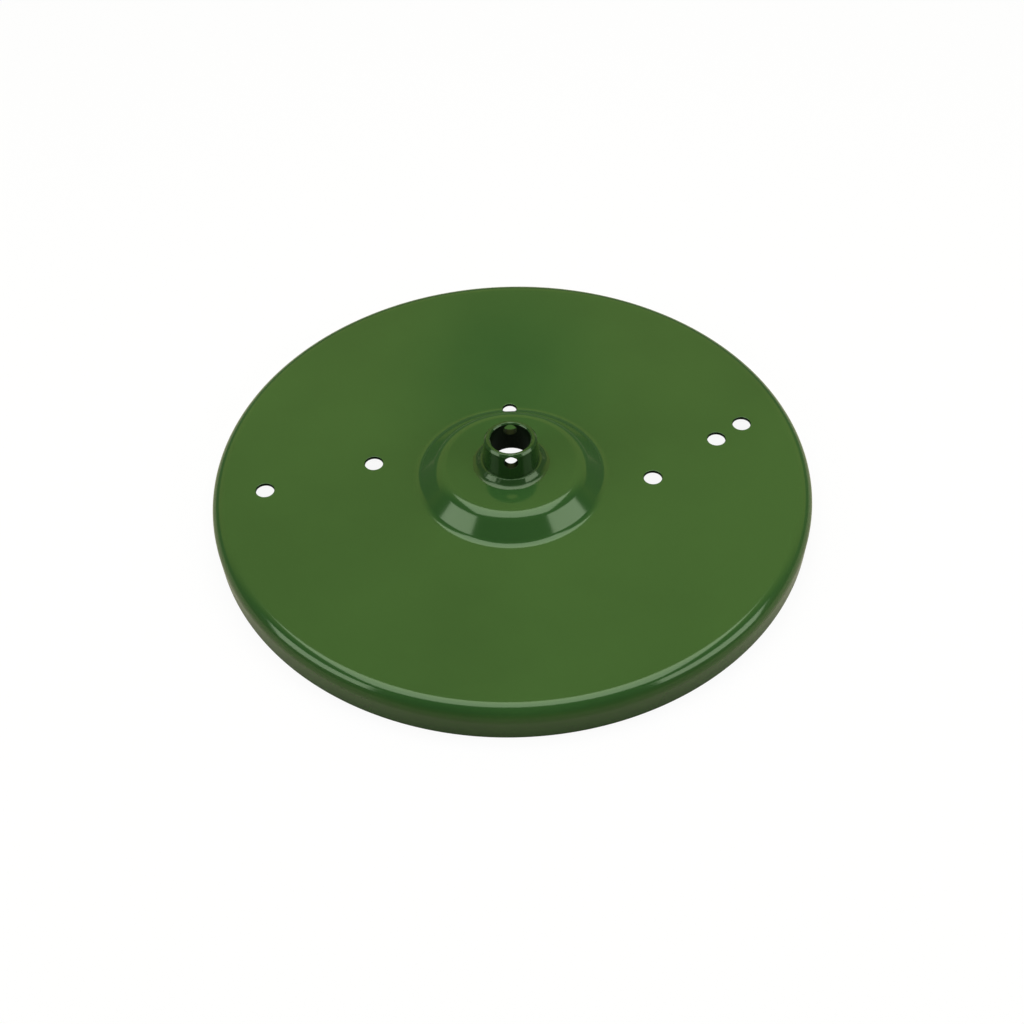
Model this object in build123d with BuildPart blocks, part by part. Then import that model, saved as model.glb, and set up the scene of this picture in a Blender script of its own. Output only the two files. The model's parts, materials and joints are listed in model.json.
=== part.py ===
from build123d import *
from math import cos, radians, sin
import os

# Spinning disc of a fertiliser spreader: a pressed sheet disc with a turned hub welded to its
# raised boss. The origin is on the disc's axis, in the plane of the rim's lower edge. +Z runs
# up through the hub. Sizes are in millimetres.

# Disc pressing
sheet = 2.0
rim_depth = 23.4
rim_bend_radius = 8.9
rim_corner_radius = 188.32
rim_foot_radius = 186.25
rim_trim = 1.0

# Raised boss in the middle of the pressing
boss_height = 12.6
boss_shoulder_radius = 44.0
boss_root_radius = 58.3
shoulder_bend = 8.0
root_bend = 5.5

# Holes in the pressing
vane_bolt_hole = 11.5
vane_a_inner_bolt = (87.8, 170.1)
vane_a_heading = 197.2
vane_a_pitches = (70.6,)
vane_b_inner_bolt = (88.3, -2.9)
vane_b_heading = 37.4
vane_b_pitches = (53.5, 75.2)
drain_hole = 9.0
drain_hole_reach = 61.0

# Hub
shaft_bore = 25.0
hub_height = 21.2
hub_foot_radius = 18.3
hub_top_radius = 16.4
hub_top_bevel = 1.5
spigot_radius = 16.0
bore_top_bevel = 1.0
bore_lead_in = 2.0
cross_hole = 8.5
cross_hole_height = 15.8

# Weld round the foot of the hub
weld_leg_up = 4.0
weld_leg_out = 6.3

# Levels above the rim's lower edge
field_top = rim_depth
boss_top = field_top + boss_height
boss_underside = boss_top - sheet
hub_top = boss_top + hub_height


def polar(reach, angle):
    """Point in the plan at a distance from the disc's axis and an angle from +X."""
    return reach * cos(radians(angle)), reach * sin(radians(angle))


def punch_vane_row(inner_bolt, heading, pitches):
    """Bolt holes of one vane: the inner bolt, then the others along the vane's line."""
    with Locations(Location((*polar(*inner_bolt), 0), (0, 0, heading))):
        with Locations((0, 0), *[(pitch, 0) for pitch in pitches]):
            Circle(vane_bolt_hole / 2)


# Pressed sheet disc: the upper skin is drawn from the hub outwards and given its thickness. The
# rim's wall leans in and runs past the base plane, where it is trimmed flat.
with BuildPart() as disc_pressing:
    rim_lean = (rim_corner_radius - rim_foot_radius) / rim_depth
    with BuildSketch(Plane.XZ):
        with BuildLine():
            FilletPolyline(
                (spigot_radius, boss_top),
                (boss_shoulder_radius, boss_top),
                (boss_root_radius, field_top),
                (rim_corner_radius, field_top),
                (rim_foot_radius - rim_lean * rim_trim, -rim_trim),
                radius=[shoulder_bend, root_bend, rim_bend_radius],
            )
            offset(amount=sheet, side=Side.RIGHT)
        make_face()
    revolve(axis=Axis.Z)
    split(bisect_by=Plane.XY, keep=Keep.TOP)
    with BuildSketch():
        punch_vane_row(vane_a_inner_bolt, vane_a_heading, vane_a_pitches)
        punch_vane_row(vane_b_inner_bolt, vane_b_heading, vane_b_pitches)
        with Locations((0, drain_hole_reach)):
            Circle(drain_hole / 2)
    extrude(amount=boss_top, mode=Mode.SUBTRACT)

# Hub: a turned sleeve whose spigot sits in the centre hole, with the shoulder on the boss
with BuildPart() as hub_sleeve:
    with BuildSketch(Plane.XZ):
        with BuildLine():
            Polyline(
                (shaft_bore / 2, hub_top),
                (hub_top_radius, hub_top),
                (hub_foot_radius, boss_top),
                (spigot_radius, boss_top),
                (spigot_radius, boss_underside),
                (shaft_bore / 2, boss_underside),
                close=True,
            )
        make_face()
    revolve(axis=Axis.Z)
    top_rims = hub_sleeve.edges().group_by(Axis.Z)[-1].sort_by(SortBy.RADIUS)
    lower_rims = hub_sleeve.edges().group_by(Axis.Z)[0].sort_by(SortBy.RADIUS)
    chamfer(top_rims[0], length=bore_top_bevel)
    chamfer(top_rims[-1], length=hub_top_bevel)
    chamfer(lower_rims[0], length=bore_lead_in)
    with BuildSketch(Plane.XZ):
        with Locations((0, boss_top + cross_hole_height)):
            Circle(cross_hole / 2)
    extrude(amount=hub_foot_radius, both=True, mode=Mode.SUBTRACT)

# Weld bead in the corner between the hub's foot and the boss
with BuildPart() as hub_weld:
    hub_taper = (hub_foot_radius - hub_top_radius) / hub_height
    bead_top = (hub_foot_radius - hub_taper * weld_leg_up, boss_top + weld_leg_up)
    bead_toe = (hub_foot_radius + weld_leg_out, boss_top)
    with BuildSketch(Plane.XZ):
        with BuildLine():
            Polyline(bead_top, (hub_foot_radius, boss_top), bead_toe, close=True)
        make_face()
    revolve(axis=Axis.Z)

disc_pressing.part.label = "disc_pressing"
hub_sleeve.part.label = "hub_sleeve"
hub_weld.part.label = "hub_weld"

os.makedirs("parts", exist_ok=True)
export_step(disc_pressing.part, "parts/disc_pressing.step")
export_step(hub_sleeve.part, "parts/hub_sleeve.step")
export_step(hub_weld.part, "parts/hub_weld.step")
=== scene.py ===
import json
from math import asin, atan2, ceil, cos, floor, hypot, pi, radians, sin, sqrt, tan

import bmesh
import bpy
from mathutils import Matrix, Vector
from mathutils.geometry import delaunay_2d_cdt


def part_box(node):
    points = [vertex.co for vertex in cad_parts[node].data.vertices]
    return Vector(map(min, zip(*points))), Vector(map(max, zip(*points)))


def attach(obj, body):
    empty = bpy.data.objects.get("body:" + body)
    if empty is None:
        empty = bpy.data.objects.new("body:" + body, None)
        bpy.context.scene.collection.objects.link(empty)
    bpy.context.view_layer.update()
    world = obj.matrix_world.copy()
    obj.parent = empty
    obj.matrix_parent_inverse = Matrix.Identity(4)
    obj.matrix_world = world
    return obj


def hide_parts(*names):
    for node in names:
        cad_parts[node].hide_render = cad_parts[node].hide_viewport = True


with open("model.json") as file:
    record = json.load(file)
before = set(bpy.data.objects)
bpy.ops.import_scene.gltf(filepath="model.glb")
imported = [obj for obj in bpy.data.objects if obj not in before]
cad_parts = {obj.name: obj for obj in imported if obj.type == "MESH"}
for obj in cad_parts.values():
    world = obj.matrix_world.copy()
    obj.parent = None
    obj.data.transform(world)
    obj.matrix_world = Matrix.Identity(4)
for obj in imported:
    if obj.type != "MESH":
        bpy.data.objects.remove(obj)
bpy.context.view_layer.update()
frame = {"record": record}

# Spinning disc of a fertiliser spreader: a pressed disc, a turned hub and the weld round the hub's
# foot, all in one gloss green enamel. Metres, in the frame of the CAD model: the origin is on the
# disc's axis in the plane of the rim's lower edge, and +Z runs up through the hub.

MM = 0.001

# Levels and radii read from the frame
disc_low, disc_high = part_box("disc_pressing")
hub_low, hub_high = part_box("hub_sleeve")
weld_low, weld_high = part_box("hub_weld")
mounts = {mount["name"]: mount for mount in frame["record"]["mounts"]}
openings = {space["name"]: space["box_m"] for space in frame["record"]["physics"]["openings"]}
FIELD_TOP = mounts["vane_a_bolts"]["pos_m"][2]
BOSS_TOP = disc_high.z
HUB_TOP = hub_high.z
BORE_RADIUS = mounts["hub_bore"]["dims"]["r_mm"] * MM
VANE_HOLE_RADIUS = mounts["vane_a_bolts"]["dims"]["hole_r_mm"] * MM
PIN_HOLE_RADIUS = mounts["drive_pin_hole"]["dims"]["r_mm"] * MM
PIN_HOLE_LEVEL = mounts["drive_pin_hole"]["pos_m"][2]

# Disc pressing
SHEET = 2.0 * MM
CENTRE_HOLE_RADIUS = 16.0 * MM
SHOULDER_RADIUS = 44.7 * MM
SHOULDER_BEND = 12.0 * MM
ROOT_RADIUS = 58.9 * MM
ROOT_BEND = 8.0 * MM
RIM_CORNER_RADIUS = 188.30 * MM
RIM_FOOT_RADIUS = 186.25 * MM
RIM_BEND = 8.9 * MM
DRAIN_HOLE_RADIUS = 4.5 * MM
CUT_EDGE = 0.3 * MM
HOLE_EDGE = 0.5 * MM
HOLE_LOWER_EDGE = 0.15 * MM
CUT_FACE = 0.15 * MM

# Hub
HUB_FOOT_RADIUS = 18.3 * MM
HUB_TOP_RADIUS = 16.4 * MM
HUB_TOP_BEVEL = 1.5 * MM
BORE_TOP_BEVEL = 1.0 * MM
BEVEL_EDGE = 0.5 * MM
BORE_LEAD_IN = 2.0 * MM
TURNED_EDGE = 0.3 * MM
PIN_HOLE_EDGE = 0.2 * MM

# Weld bead
BEAD_RISE = weld_high.z - weld_low.z
BEAD_START_RADIUS = 17.7 * MM
BEAD_TOP_RADIUS = 18.9 * MM
BEAD_DROP = 0.5 * MM
BEAD_TOP_BEND = 0.8 * MM
BEAD_TOE_RADIUS = 22.4 * MM
BEAD_TOE_BEND = 6.0 * MM
BEAD_SKIRT = 1.4 * MM
BEAD_SINK = 0.15 * MM
RIPPLES = 40
RIPPLE_HEIGHT = 0.02 * MM
WANDER = 0.1 * MM

# Paint
GREEN_DARK = (0.022, 0.070, 0.0165)
GREEN_LIGHT = (0.027, 0.081, 0.0190)
GLOSS_TINT = (0.78, 1.0, 0.66)
GLOSS_ROUGHNESS = 0.12
WELD_ROUGHNESS = 0.20
HIDDEN_ROUGHNESS = 0.40
PEEL = 0.15
# Painted shade: the hub's and the weld's green is darkened to this share to stand in for the shade on them.
HUB_PAINTED_SHADE = 0.65
# Painted shade: the walls of the holes and the bore are painted near black to stand in for the shade inside them.
HOLE_PAINTED_SHADE = 0.12

# Studio
BOX_RADIANCE = 3.6
SIDE_ROLL = radians(24)
GLOW_TO_CAMERA = 0.93
GLOW_IN_GLOSS = 0.10
FLOOR_GREY = (0.47, 0.45, 0.31)
FLOOR_WHITE = (0.85, 0.85, 0.85)
WALL_DIM = 0.08
WALL_GLOW = 0.85
WALL_COLOUR = (0.80, 0.76, 0.22)
GAP_ELEVATION = radians(42.8)
GAP_INNER = 0.01
GAP_OUTER = 0.06

# Mesh density
DISC_COLUMNS = 360
HUB_COLUMNS = 144
WELD_COLUMNS = 288
HOLE_POINTS = 48
BEND_STEP = radians(7)
EDGE_STEP = radians(22.5)
SUPPORT = 0.4 * MM
HOLE_CLEARANCE = 1.2 * MM


def rounded_path(corners, bends, longest, turn_step):
    """Points of a polyline in the (radius, level) plane, with its inner corners rounded to arcs.

    Straight stretches longer than `longest` are divided, with a short step at each end.
    """
    corners = [Vector(corner) for corner in corners]
    points = [corners[0]]
    for before, corner, after, bend in zip(corners, corners[1:], corners[2:], bends):
        arrive, leave = (corner - before).normalized(), (after - corner).normalized()
        turn = arrive.angle_signed(leave)
        reach = bend * tan(abs(turn) / 2)
        start = corner - arrive * reach
        side = 1 if turn > 0 else -1
        inward = Vector((arrive.y, -arrive.x)) * side
        centre = start + inward * bend
        steps = max(2, ceil(abs(turn) / turn_step))
        add_straight(points, start, longest)
        for step in range(1, steps + 1):
            points.append(centre + turned(-inward, -turn * step / steps) * bend)
    add_straight(points, corners[-1], longest)
    return points


def turned(vector, angle):
    """The vector turned anticlockwise."""
    return Vector((vector.x * cos(angle) - vector.y * sin(angle), vector.x * sin(angle) + vector.y * cos(angle)))


def add_straight(points, end, longest):
    """Adds a straight stretch from the last point to the end."""
    start = points[-1]
    length = (end - start).length
    if length > longest:
        along = (end - start) / length
        points.append(start + along * SUPPORT)
        spans = ceil((length - 2 * SUPPORT) / longest)
        inner_span = (length - 2 * SUPPORT) / spans
        for span in range(1, spans + 1):
            points.append(start + along * (SUPPORT + span * inner_span))
    points.append(end)


def offset_path(points, distance):
    """The path moved sideways, to the right of its own direction."""
    moved = []
    for index, point in enumerate(points):
        before = points[max(index - 1, 0)]
        after = points[min(index + 1, len(points) - 1)]
        arrive = (point - before).normalized() if index else (after - point).normalized()
        leave = (after - point).normalized() if index < len(points) - 1 else arrive
        along = (arrive + leave).normalized()
        spread = distance / max(cos(arrive.angle(leave) / 2), 0.5)
        moved.append(point + Vector((along.y, -along.x)) * spread)
    return moved


def value_along(path, position, given, wanted):
    """Reads one coordinate of a path where its other coordinate has a value."""
    for start, end in zip(path, path[1:]):
        low, high = sorted((start[given], end[given]))
        if low <= position <= high and high > low:
            share = (position - start[given]) / (end[given] - start[given])
            return start[wanted] + share * (end[wanted] - start[wanted])
    raise ValueError("the path doesn't reach that position")


def turned_rows(bm, section, columns):
    """Vertices of a closed section turned round the disc's axis, one row for each of its points."""
    rows = []
    for radius, level in section:
        angles = [2 * pi * column / columns for column in range(columns)]
        rows.append([bm.verts.new((radius * cos(a), radius * sin(a), level)) for a in angles])
    return rows


def cover_rows(bm, rows, windows):
    """Quads between the rows, apart from the windows kept open for holes."""
    columns = len(rows[0])
    kept_open = {cell for window in windows for cell in window_cells(window, columns)}
    for index, row in enumerate(rows):
        upper = rows[(index + 1) % len(rows)]
        for column in range(columns):
            if (index, column) not in kept_open:
                beside = (column + 1) % columns
                bm.faces.new((row[column], row[beside], upper[beside], upper[column]))


def window_cells(window, columns):
    first_row, last_row, first_column, last_column = window
    for row in range(first_row, last_row):
        for column in range(first_column, last_column):
            yield row, column % columns


def window_border(window, rows):
    """The grid's vertices round a window, in order, and those inside it."""
    first_row, last_row, first_column, last_column = window
    columns = len(rows[0])
    lower = [(first_row, column) for column in range(first_column, last_column)]
    right = [(row, last_column) for row in range(first_row, last_row)]
    upper = [(last_row, column) for column in range(last_column, first_column, -1)]
    left = [(row, first_column) for row in range(last_row, first_row, -1)]
    border = [rows[row][column % columns] for row, column in lower + right + upper + left]
    inside = [
        rows[row][column % columns]
        for row in range(first_row + 1, last_row)
        for column in range(first_column + 1, last_column)
    ]
    return border, inside


def fill_window(bm, rows, window, flatten, rim, centre, hole_reach):
    """Triangles between the border of a window and the rim of the hole in it."""
    border, inside = window_border(window, rows)
    clear = hole_reach + HOLE_CLEARANCE * 0.6
    inside = [vertex for vertex in inside if (flatten(vertex.co) - centre).length > clear]
    vertices = border + rim + inside
    flat = [flatten(vertex.co) for vertex in vertices]
    edges = [(index, (index + 1) % len(border)) for index in range(len(border))]
    edges += [(len(border) + index, len(border) + (index + 1) % len(rim)) for index in range(len(rim))]
    result = delaunay_2d_cdt(flat, edges, [], 1, 1e-8)
    sources = result[3]
    for triangle in result[2]:
        corners = [sources[corner][0] for corner in triangle]
        middle = sum((flat[corner] for corner in corners), Vector((0, 0))) / 3
        if (middle - centre).length > hole_reach * cos(pi / len(rim)):
            bm.faces.new([vertices[corner] for corner in corners])


def hole_loops(bm, lift, centre, radius, edge, sink):
    """Loops of vertices round a hole, from the skin over its rounded edge to the start of its wall."""
    reaches = [(radius + edge + SUPPORT, 0.0)]
    steps = 4
    for step in range(steps + 1):
        turn = 0.5 * pi * step / steps
        reaches.append((radius + edge * (1 - sin(turn)), edge * (1 - cos(turn))))
    loops = []
    for reach, depth in reaches:
        angles = [2 * pi * point / HOLE_POINTS for point in range(HOLE_POINTS)]
        places = [lift(centre.x + reach * cos(a), centre.y + reach * sin(a)) + sink * depth for a in angles]
        loops.append([bm.verts.new(place) for place in places])
    return loops


def bridge(bm, loops):
    """Quads from each closed loop to the next."""
    for lower, upper in zip(loops, loops[1:]):
        for point in range(len(lower)):
            beside = (point + 1) % len(lower)
            bm.faces.new((lower[point], lower[beside], upper[beside], upper[point]))


def window_round(measures, first, last, low, high, angle, half_angle, columns):
    """Rows and columns of the grid round a hole: rows first to last are the skin that it is in."""
    touched = [row for row in range(first, last + 1) if low < measures[row] < high]
    first_column = floor((angle - half_angle) * columns / (2 * pi))
    last_column = ceil((angle + half_angle) * columns / (2 * pi))
    return max(touched[0] - 1, first), min(touched[-1] + 1, last), first_column, last_column


def finish_mesh(bm, name, sharp_angle):
    """Turns the bmesh into a smooth-shaded object with its normals outwards."""
    loose = [vertex for vertex in bm.verts if not vertex.link_faces]
    bmesh.ops.delete(bm, geom=loose, context="VERTS")
    bmesh.ops.recalc_face_normals(bm, faces=bm.faces)
    mesh = bpy.data.meshes.new(name)
    bm.to_mesh(mesh)
    bm.free()
    mesh.shade_smooth()
    mesh.set_sharp_from_angle(angle=sharp_angle)
    piece = bpy.data.objects.new(name, mesh)
    bpy.context.scene.collection.objects.link(piece)
    return piece


# Disc pressing

def disc_skin():
    """The disc's upper skin in section, from the centre hole to just above the rim's foot."""
    lean = (RIM_CORNER_RADIUS - RIM_FOOT_RADIUS) / FIELD_TOP
    return rounded_path(
        [
            (CENTRE_HOLE_RADIUS, BOSS_TOP),
            (SHOULDER_RADIUS, BOSS_TOP),
            (ROOT_RADIUS, FIELD_TOP),
            (RIM_CORNER_RADIUS, FIELD_TOP),
            (RIM_FOOT_RADIUS + lean * CUT_EDGE, CUT_EDGE),
        ],
        [SHOULDER_BEND, ROOT_BEND, RIM_BEND],
        longest=3.0 * MM,
        turn_step=BEND_STEP,
    )


def foot_edge(outer, inner):
    """The rim's cut edge in section, with both its corners broken."""
    thick = outer.x - inner.x
    return [
        Vector((outer.x - 0.3 * CUT_EDGE, 0.3 * CUT_EDGE)),
        Vector((outer.x - CUT_EDGE, 0)),
        Vector((outer.x - thick / 2, 0)),
        Vector((inner.x + CUT_EDGE, 0)),
        Vector((inner.x + 0.3 * CUT_EDGE, 0.3 * CUT_EDGE)),
    ]


def punched_holes():
    """Centre in plan and radius of each hole through the sheet."""
    for name, (low, high) in openings.items():
        if name.endswith("_hole"):
            centre = Vector(((low[0] + high[0]) / 2, (low[1] + high[1]) / 2))
            yield centre, DRAIN_HOLE_RADIUS if name == "drain_hole" else VANE_HOLE_RADIUS


def in_sheet_hole(place):
    """Tells whether a face's middle is on the wall of a hole through the sheet."""
    return any((place.xy - centre).length < radius + CUT_FACE for centre, radius in punched_holes())


def disc_pressing():
    bm = bmesh.new()
    upper = disc_skin()
    lower = offset_path(upper, SHEET)
    foot = foot_edge(upper[-1], lower[-1])
    section = upper + foot + lower[::-1]
    rows = turned_rows(bm, section, DISC_COLUMNS)
    radii = [point.x for point in section]
    lower_first = len(upper) + len(foot)
    windows = []
    for centre, radius in punched_holes():
        windows += punch_disc(bm, rows, radii, centre, radius, upper, lower, lower_first)
    cover_rows(bm, rows, windows)
    return finish_mesh(bm, "disc_pressing_painted", radians(50))


def punch_disc(bm, rows, radii, centre, radius, upper, lower, lower_first):
    """A round hole through both skins of the disc, with the sheet's edge between them."""
    def flatten(place):
        return place.xy

    def on_skin(skin):
        return lambda x, y: Vector((x, y, value_along(skin, hypot(x, y), 0, 1)))

    reach = radius + HOLE_EDGE + SUPPORT
    spread = reach + HOLE_CLEARANCE
    distance, angle = centre.length, atan2(centre.y, centre.x)
    half_angle = asin(spread / distance)
    down = Vector((0, 0, -1))
    edges = []
    windows = []
    skins = (
        (upper, 0, len(upper) - 1, down, HOLE_EDGE),
        (lower, lower_first, len(radii) - 1, -down, HOLE_LOWER_EDGE),
    )
    for skin, first, last, sink, edge in skins:
        window = window_round(
            radii, first, last, distance - spread, distance + spread, angle, half_angle, DISC_COLUMNS
        )
        loops = hole_loops(bm, on_skin(skin), centre, radius, edge, sink)
        fill_window(bm, rows, window, flatten, loops[0], centre, reach)
        bridge(bm, loops)
        edges.append(loops[-1])
        windows.append(window)
    bridge(bm, edges)
    return windows


# Hub

def hub_section():
    """The hub's closed section, from its shoulder up the outside, down the bore and back."""
    lower = hub_low.z
    outside = [
        (HUB_FOOT_RADIUS, BOSS_TOP),
        (HUB_TOP_RADIUS, HUB_TOP - HUB_TOP_BEVEL),
        (HUB_TOP_RADIUS - HUB_TOP_BEVEL, HUB_TOP),
    ]
    inside = [
        (BORE_RADIUS + BORE_TOP_BEVEL, HUB_TOP),
        (BORE_RADIUS, HUB_TOP - BORE_TOP_BEVEL),
        (BORE_RADIUS, lower + BORE_LEAD_IN),
        (BORE_RADIUS + BORE_LEAD_IN, lower),
        (CENTRE_HOLE_RADIUS, lower),
        (CENTRE_HOLE_RADIUS, BOSS_TOP),
    ]
    start = [((HUB_FOOT_RADIUS + CENTRE_HOLE_RADIUS) / 2, BOSS_TOP)]
    bends = [TURNED_EDGE] + [BEVEL_EDGE] * 4 + [TURNED_EDGE] * 4
    return rounded_path(start + outside + inside + start, bends, longest=1.2 * MM, turn_step=EDGE_STEP)[:-1]


def hub_sleeve():
    bm = bmesh.new()
    section = hub_section()
    rows = turned_rows(bm, section, HUB_COLUMNS)
    windows = []
    for side in (-1, 1):
        windows += bore_pin_hole(bm, rows, section, side)
    cover_rows(bm, rows, windows)
    return finish_mesh(bm, "hub_sleeve_painted", radians(50))


def in_hub_hole(place):
    """Tells whether a face's middle is in the shaft's bore or on the wall of the drive pin's hole."""
    in_bore = hypot(place.x, place.y) < BORE_RADIUS + CUT_FACE
    in_pin_hole = hypot(place.x, place.z - PIN_HOLE_LEVEL) < PIN_HOLE_RADIUS + CUT_FACE
    return in_bore or in_pin_hole


def first_wall_row(section):
    """The row where the hub's outer wall starts."""
    return next(row for row, point in enumerate(section) if point.y > BOSS_TOP + TURNED_EDGE)


def bore_pin_hole(bm, rows, section, side):
    """The drive pin's hole through one side of the hub: side -1 is the front."""
    def flatten(place):
        return Vector((place.x, place.z))

    def on_skin(skin):
        def lift(x, level):
            radius = value_along(skin, level, 1, 0)
            return Vector((x, side * sqrt(radius * radius - x * x), level))
        return lift

    levels = [point.y for point in section]
    top_rows = [row for row, level in enumerate(levels) if level > HUB_TOP - 0.001 * MM]
    bore_rows = [row for row, point in enumerate(section) if point.x < BORE_RADIUS + 0.001 * MM]
    outer_rows = range(first_wall_row(section), top_rows[0] + 1)
    inner_rows = range(top_rows[-1], bore_rows[-1] + 1)
    centre = Vector((0, PIN_HOLE_LEVEL))
    reach = PIN_HOLE_RADIUS + PIN_HOLE_EDGE + SUPPORT
    spread = reach + HOLE_CLEARANCE * 0.6
    outwards = Vector((0, side, 0))
    edges = []
    windows = []
    for row_range, sink in ((outer_rows, -outwards), (inner_rows, outwards)):
        skin = [section[row] for row in row_range]
        half_angle = asin(spread / BORE_RADIUS)
        window = window_round(
            levels, row_range[0], row_range[-1], PIN_HOLE_LEVEL - spread, PIN_HOLE_LEVEL + spread,
            side * pi / 2, half_angle, HUB_COLUMNS
        )
        loops = hole_loops(bm, on_skin(skin), centre, PIN_HOLE_RADIUS, PIN_HOLE_EDGE, sink)
        fill_window(bm, rows, window, flatten, loops[0], centre, reach)
        bridge(bm, loops)
        edges.append(loops[-1])
        windows.append(window)
    bridge(bm, edges)
    return windows


# Weld

def hub_weld():
    """The fillet bead round the hub's foot: faint ripples, a hollow toe and a flat underside.

    The skin runs out just under the boss's top, so that the toe has no step.
    """
    bm = bmesh.new()
    rise = BEAD_RISE - BEAD_DROP
    toe_reach = BEAD_TOE_BEND * tan(atan2(rise, BEAD_TOE_RADIUS - BEAD_TOP_RADIUS) / 2)
    skin = rounded_path(
        [
            (BEAD_START_RADIUS, rise + 0.1 * MM),
            (BEAD_TOP_RADIUS, rise),
            (BEAD_TOE_RADIUS, 0),
            (BEAD_TOE_RADIUS + toe_reach + BEAD_SKIRT, -BEAD_SINK),
        ],
        [BEAD_TOP_BEND, BEAD_TOE_BEND],
        longest=0.8 * MM,
        turn_step=radians(6),
    )
    rows = []
    for index, point in enumerate(skin):
        share = index / (len(skin) - 1)
        swell = RIPPLE_HEIGHT * sin(pi * min(1, share * 1.5))
        row = []
        for column in range(WELD_COLUMNS):
            angle = 2 * pi * column / WELD_COLUMNS
            ripple = swell * cos(RIPPLES * angle + 3 * share)
            wander = WANDER * sin(pi * share) * (sin(5 * angle + 1) + 0.7 * sin(11 * angle + 2))
            radius, level = point.x + ripple + wander, BOSS_TOP + point.y + ripple
            row.append(bm.verts.new((radius * cos(angle), radius * sin(angle), level)))
        rows.append(row)
    for radius in (skin[-1].x, skin[0].x):
        ring = [2 * pi * column / WELD_COLUMNS for column in range(WELD_COLUMNS)]
        rows.append([bm.verts.new((radius * cos(a), radius * sin(a), BOSS_TOP - 2 * BEAD_SINK)) for a in ring])
    cover_rows(bm, rows, [])
    return finish_mesh(bm, "hub_weld_painted", radians(50))


# Materials

def node(tree, kind, place, **values):
    """A shader node, with its attributes or its inputs set by name."""
    made = tree.nodes.new(kind)
    made.location = place
    for name, value in values.items():
        if hasattr(made, name):
            setattr(made, name, value)
        else:
            made.inputs[name.replace("_", " ")].default_value = value
    return made


def enamel(name, painted_shade_share, roughness, gloss_level):
    """Gloss enamel: a slow drift of colour, faint orange peel and a fine grain in the gloss, with its colours
    darkened by a share as painted shade.
    """
    material = bpy.data.materials.new(name)
    material.use_nodes = True
    tree = material.node_tree
    tree.nodes.clear()
    output = node(tree, "ShaderNodeOutputMaterial", (900, 0))
    paint = node(tree, "ShaderNodeBsdfPrincipled", (600, 0), IOR=1.5, Specular_Tint=(*GLOSS_TINT, 1))
    paint.inputs["Specular IOR Level"].default_value = gloss_level
    place = node(tree, "ShaderNodeTexCoord", (-900, 0))
    drift = node(tree, "ShaderNodeTexNoise", (-600, 200), Scale=9.0, Detail=3.0)
    colours = node(tree, "ShaderNodeValToRGB", (-300, 200))
    colours.color_ramp.elements[0].position = 0.35
    colours.color_ramp.elements[0].color = (*shaded(GREEN_DARK, painted_shade_share), 1)
    colours.color_ramp.elements[1].position = 0.65
    colours.color_ramp.elements[1].color = (*shaded(GREEN_LIGHT, painted_shade_share), 1)
    gloss = node(tree, "ShaderNodeTexNoise", (-600, -100), Scale=40.0, Detail=4.0)
    gloss_range = node(tree, "ShaderNodeMapRange", (-300, -100), To_Min=roughness * 0.85, To_Max=roughness * 1.15)
    peel = node(tree, "ShaderNodeTexNoise", (-600, -400), Scale=320.0, Detail=2.0)
    bump = node(tree, "ShaderNodeBump", (300, -300), Strength=PEEL, Distance=0.02 * MM)
    link = tree.links.new
    link(place.outputs["Object"], drift.inputs["Vector"])
    link(place.outputs["Object"], gloss.inputs["Vector"])
    link(place.outputs["Object"], peel.inputs["Vector"])
    link(drift.outputs["Fac"], colours.inputs["Fac"])
    link(colours.outputs["Color"], paint.inputs["Base Color"])
    link(gloss.outputs["Fac"], gloss_range.inputs["Value"])
    link(gloss_range.outputs["Result"], paint.inputs["Roughness"])
    link(peel.outputs["Fac"], bump.inputs["Height"])
    link(bump.outputs["Normal"], paint.inputs["Normal"])
    link(paint.outputs["BSDF"], output.inputs["Surface"])
    return material


def shaded(colour, share):
    """The colour scaled towards black."""
    return tuple(channel * share for channel in colour)


def paint_inside(piece, material, test):
    """Gives a second material to the faces whose middle passes a test."""
    piece.data.materials.append(material)
    for face in piece.data.polygons:
        if test(face.center):
            face.material_index = 1


# Stage

def studio_floor():
    """A round pale floor that sweeps up into a low wall, plain white to the eye."""
    section = [(3.0, 0.0), (3.2, 0.0), (3.6, 0.08), (3.9, 0.3), (4.0, 0.7), (4.0, 1.4)]
    bm = bmesh.new()
    columns = 96
    rows = turned_rows(bm, section, columns)
    for inner, outer in zip(rows, rows[1:]):
        for column in range(columns):
            beside = (column + 1) % columns
            bm.faces.new((inner[column], outer[column], outer[beside], inner[beside]))
    bm.faces.new(rows[0])
    mesh = bpy.data.meshes.new("studio_floor")
    bm.to_mesh(mesh)
    bm.free()
    mesh.shade_smooth()
    floor_piece = bpy.data.objects.new("studio_floor", mesh)
    bpy.context.scene.collection.objects.link(floor_piece)
    floor_piece.data.materials.append(floor_material())


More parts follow.
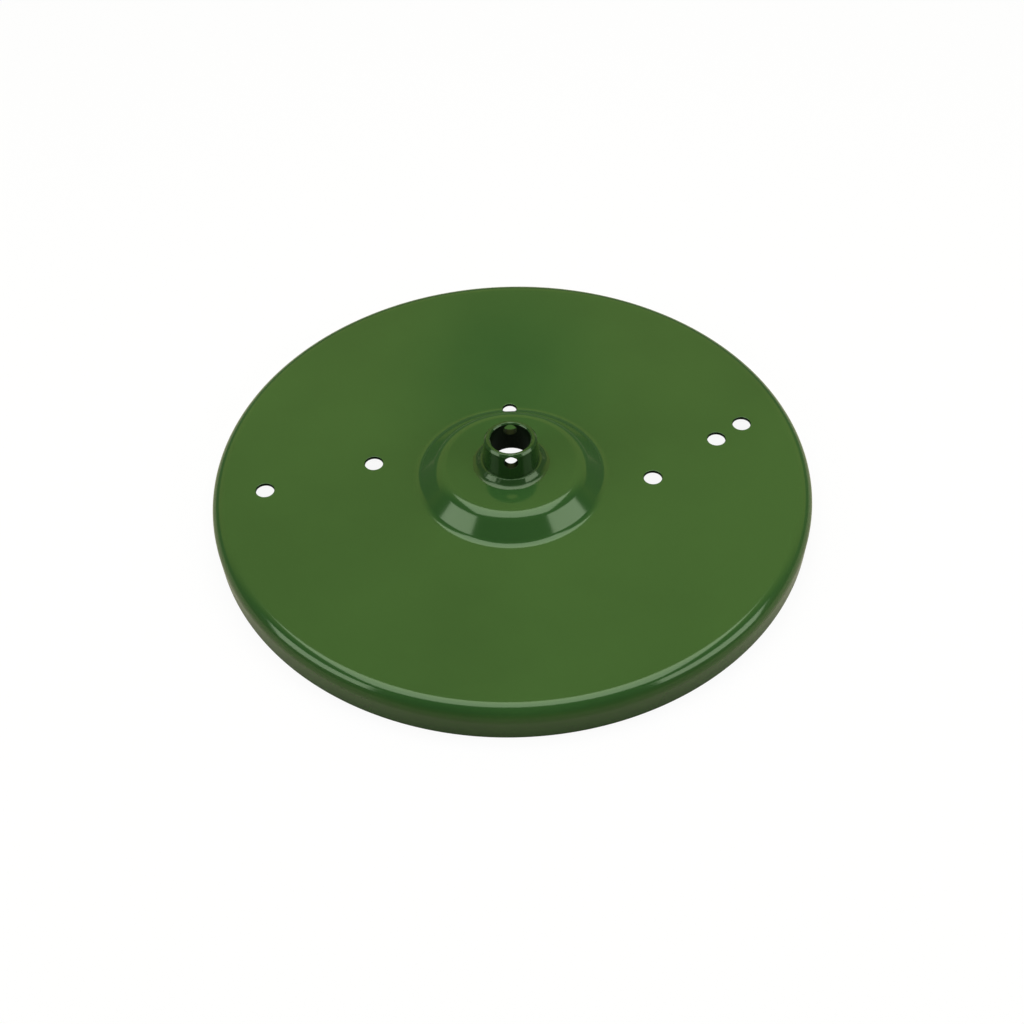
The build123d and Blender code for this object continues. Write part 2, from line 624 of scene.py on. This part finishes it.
def floor_material():
    """White to the camera, where it takes the object's shadow, and a mid-grey floor to the light."""
    material = bpy.data.materials.new("studio_floor")
    material.use_nodes = True
    tree = material.node_tree
    tree.nodes.clear()
    output = node(tree, "ShaderNodeOutputMaterial", (700, 0))
    seen = node(tree, "ShaderNodeLightPath", (-700, 100))
    to_eye = node(tree, "ShaderNodeMath", (-400, 300), operation="MULTIPLY")
    to_eye.inputs[1].default_value = GLOW_TO_CAMERA
    other = node(tree, "ShaderNodeMath", (-400, 100), operation="ADD")
    in_gloss = node(tree, "ShaderNodeMath", (-200, 100), operation="MULTIPLY")
    in_gloss.inputs[1].default_value = GLOW_IN_GLOSS
    share = node(tree, "ShaderNodeMath", (0, 200), operation="ADD")
    grey = node(tree, "ShaderNodeBsdfDiffuse", (0, -60), Color=(*FLOOR_GREY, 1))
    white = node(tree, "ShaderNodeBsdfDiffuse", (0, -180), Color=(*FLOOR_WHITE, 1))
    matt = node(tree, "ShaderNodeMixShader", (250, -100))
    glow = node(tree, "ShaderNodeEmission", (250, -250), Color=(1, 1, 1, 1), Strength=1.0)
    mix = node(tree, "ShaderNodeMixShader", (480, 0))
    link = tree.links.new
    link(seen.outputs["Is Camera Ray"], to_eye.inputs[0])
    link(seen.outputs["Is Glossy Ray"], other.inputs[0])
    link(seen.outputs["Is Transmission Ray"], other.inputs[1])
    link(other.outputs[0], in_gloss.inputs[0])
    link(to_eye.outputs[0], share.inputs[0])
    link(in_gloss.outputs[0], share.inputs[1])
    link(seen.outputs["Is Camera Ray"], matt.inputs[0])
    link(grey.outputs[0], matt.inputs[1])
    link(white.outputs[0], matt.inputs[2])
    link(share.outputs[0], mix.inputs[0])
    link(matt.outputs[0], mix.inputs[1])
    link(glow.outputs[0], mix.inputs[2])
    link(mix.outputs[0], output.inputs["Surface"])
    return material


def softbox(name, place, aim, roll, width, height, radiance):
    """A rectangular softbox that faces a point, with an even brightness across it."""
    lamp = bpy.data.lights.new(name, "AREA")
    lamp.shape = "RECTANGLE"
    lamp.size = width
    lamp.size_y = height
    lamp.energy = radiance * pi * width * height
    box = bpy.data.objects.new(name, lamp)
    turn = (Vector(aim) - Vector(place)).to_track_quat("-Z", "Y").to_matrix().to_4x4()
    box.matrix_world = Matrix.Translation(place) @ turn @ Matrix.Rotation(roll, 4, "Z")
    bpy.context.scene.collection.objects.link(box)


def studio_walls():
    """Dim walls round the stage, lighter and warm behind it, with a dark gap behind the hub."""
    world = bpy.data.worlds.new("studio")
    world.use_nodes = True
    tree = world.node_tree
    tree.nodes.clear()
    output = node(tree, "ShaderNodeOutputWorld", (900, 0))
    towards = node(tree, "ShaderNodeTexCoord", (-900, 0))
    axes = node(tree, "ShaderNodeSeparateXYZ", (-650, 150))
    behind = node(tree, "ShaderNodeMapRange", (-400, 150), interpolation_type="SMOOTHSTEP")
    behind.inputs["From Min"].default_value = 0.1
    behind.inputs["From Max"].default_value = 0.6
    gap = node(tree, "ShaderNodeVectorMath", (-650, -150), operation="DISTANCE")
    gap.inputs[1].default_value = (0, cos(GAP_ELEVATION), sin(GAP_ELEVATION))
    beside = node(tree, "ShaderNodeMapRange", (-400, -150), interpolation_type="SMOOTHSTEP")
    beside.inputs["From Min"].default_value = GAP_INNER
    beside.inputs["From Max"].default_value = GAP_OUTER
    both = node(tree, "ShaderNodeMath", (-150, 0), operation="MULTIPLY")
    level = node(tree, "ShaderNodeMath", (50, 0), operation="MULTIPLY")
    level.inputs[1].default_value = WALL_GLOW
    warm = node(tree, "ShaderNodeBackground", (250, 0), Color=(*WALL_COLOUR, 1))
    dim = node(tree, "ShaderNodeBackground", (250, -150), Color=(1, 1, 1, 1), Strength=WALL_DIM)
    room = node(tree, "ShaderNodeAddShader", (450, 0))
    seen = node(tree, "ShaderNodeLightPath", (250, 400))
    white = node(tree, "ShaderNodeBackground", (450, -200), Color=(1, 1, 1, 1), Strength=1.0)
    mix = node(tree, "ShaderNodeMixShader", (680, 0))
    link = tree.links.new
    link(towards.outputs["Generated"], axes.inputs[0])
    link(axes.outputs["Y"], behind.inputs["Value"])
    link(towards.outputs["Generated"], gap.inputs[0])
    link(gap.outputs["Value"], beside.inputs["Value"])
    link(behind.outputs["Result"], both.inputs[0])
    link(beside.outputs["Result"], both.inputs[1])
    link(both.outputs[0], level.inputs[0])
    link(level.outputs[0], warm.inputs["Strength"])
    link(warm.outputs[0], room.inputs[0])
    link(dim.outputs[0], room.inputs[1])
    link(seen.outputs["Is Camera Ray"], mix.inputs[0])
    link(room.outputs[0], mix.inputs[1])
    link(white.outputs[0], mix.inputs[2])
    link(mix.outputs[0], output.inputs["Surface"])
    bpy.context.scene.world = world


def camera():
    """The photograph's view: above and in front, looking a little below the hub, turned slightly."""
    eye = Vector((0, -904.68 * MM, FIELD_TOP + 924.84 * MM))
    aim = Vector((-0.37 * MM, -30.76 * MM, FIELD_TOP))
    roll = radians(-1.70)
    lens = bpy.data.cameras.new("photo_view")
    lens.sensor_width = 36.0
    lens.lens = 72.71
    view = bpy.data.objects.new("photo_view", lens)
    turn = (aim - eye).to_track_quat("-Z", "Y").to_matrix().to_4x4() @ Matrix.Rotation(roll, 4, "Z")
    view.matrix_world = Matrix.Translation(eye) @ turn
    bpy.context.scene.collection.objects.link(view)
    bpy.context.scene.camera = view


def lights():
    middle = (0, 0, 0.036)
    softbox("overhead", (0, 0.10, 1.22), (0, 0.10, 0), 0, 1.4, 0.9, BOX_RADIANCE)
    softbox("left_box", (-1.217, -0.470, 0.787), middle, SIDE_ROLL, 0.90, 0.65, BOX_RADIANCE)
    softbox("right_box", (1.217, -0.470, 0.787), middle, -SIDE_ROLL, 1.00, 0.65, BOX_RADIANCE)
    studio_walls()


def dress(piece, name, node_name, painted_shade_share=1.0, roughness=GLOSS_ROUGHNESS, hidden=None):
    """Gives a piece its paint, darkened by a share as painted shade, with near-black painted shade and a duller
    gloss in its holes, and sets it in place of its CAD node.
    """
    piece.data.materials.append(enamel(name, painted_shade_share, roughness, 0.5))
    if hidden:
        # Painted shade in the holes: a near-black, duller copy of the paint on their walls and in the bore.
        paint_inside(piece, enamel(name + "_inside", HOLE_PAINTED_SHADE, HIDDEN_ROUGHNESS, 0.2), hidden)
    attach(piece, "root")
    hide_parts(node_name)


dress(disc_pressing(), "green_paint", "disc_pressing", hidden=in_sheet_hole)
# The hub and the weld get painted shade: a darker copy of the same green enamel.
dress(hub_sleeve(), "hub_paint", "hub_sleeve", painted_shade_share=HUB_PAINTED_SHADE, hidden=in_hub_hole)
dress(hub_weld(), "weld_paint", "hub_weld", painted_shade_share=HUB_PAINTED_SHADE, roughness=WELD_ROUGHNESS)
studio_floor()
lights()
camera()
bpy.context.scene.view_settings.view_transform = "Standard"
